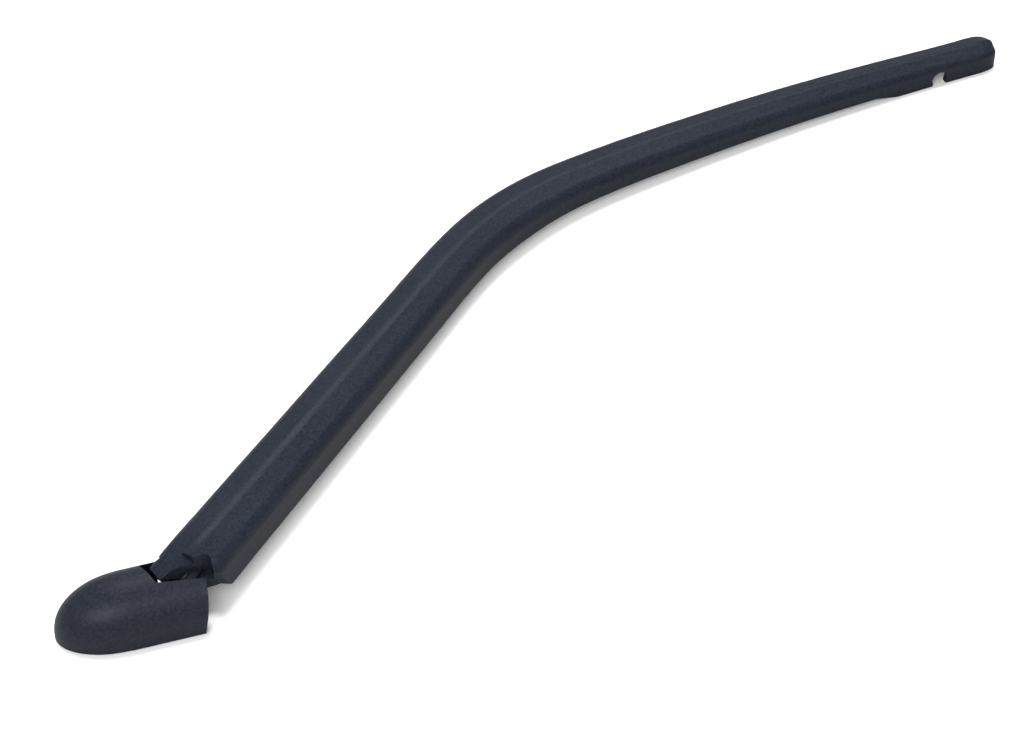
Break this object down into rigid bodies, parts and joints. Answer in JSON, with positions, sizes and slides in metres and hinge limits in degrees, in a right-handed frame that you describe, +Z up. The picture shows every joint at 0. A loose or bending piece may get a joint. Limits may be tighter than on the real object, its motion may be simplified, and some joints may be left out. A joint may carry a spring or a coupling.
{
  "type": "wiper arm",
  "caption": "Dog-leg rear wiper arm: moulded channel arm on a sprung hinge, spindle head under a nut cap that clips on, snap seat for the blade's cross pin.",
  "frame": {"origin": "on the spindle axis, in the plane that the head's foot and the blade end's skirts lie on", "axes": "+Z up the spindle and away from the glass, +X along the blade seat towards the tip, +Y to the side the dog-leg bows out on"},
  "size_m": [0.3797, 0.1488, 0.0214],
  "materials": {
    "arm_moulding": "black, fine-grained satin moulding",
    "cap_moulding": "black, fine-grained satin moulding",
    "head_casting": "black-coated casting",
    "pin_steel": "turned and plated",
    "spring_steel": "drawn spring wire"
  },
  "bodies": {
    "head": {"pivot_head": "head_casting", "hinge_pin": "pin_steel", "link_pin": "pin_steel"},
    "arm": {"arm_beam": "arm_moulding", "anchor_pin": "pin_steel"},
    "link": {"spring_link": "spring_steel"},
    "spring": {"tension_spring": "spring_steel"},
    "cap": {"nut_cap": "cap_moulding"}
  },
  "joints": [
    {"name": "arm_hinge", "type": "hinge", "parent": "head", "child": "arm", "pos_m": [0.02564, -0.00004, 0.0105], "axis": [0.6198, -0.7848, 0], "range_deg": [0, 30], "stiffness_Nm_per_rad": 0.5, "springref_deg": -68.75},
    {"name": "link_swing", "type": "hinge", "parent": "head", "child": "link", "pos_m": [0.02203, 0.00131, 0.0044], "axis": [0.6198, -0.7848, 0], "range_deg": [0, 29]},
    {"name": "spring_stretch", "type": "slide", "parent": "link", "child": "spring", "axis": [0.7816, 0.6173, 0.0894], "range_m": [0, 0.0027], "deforming": ["tension_spring"]},
    {"name": "cap_off", "type": "slide", "parent": "head", "child": "cap", "axis": [-0.7039, 0.0678, 0.7071], "range_m": [0, 0.03]}
  ],
  "couplings": [
    {"joint": "link_swing", "follows": "arm_hinge", "ratio": 0.949},
    {"joint": "spring_stretch", "follows": "arm_hinge", "m_per_rad": 0.00504}
  ]
}
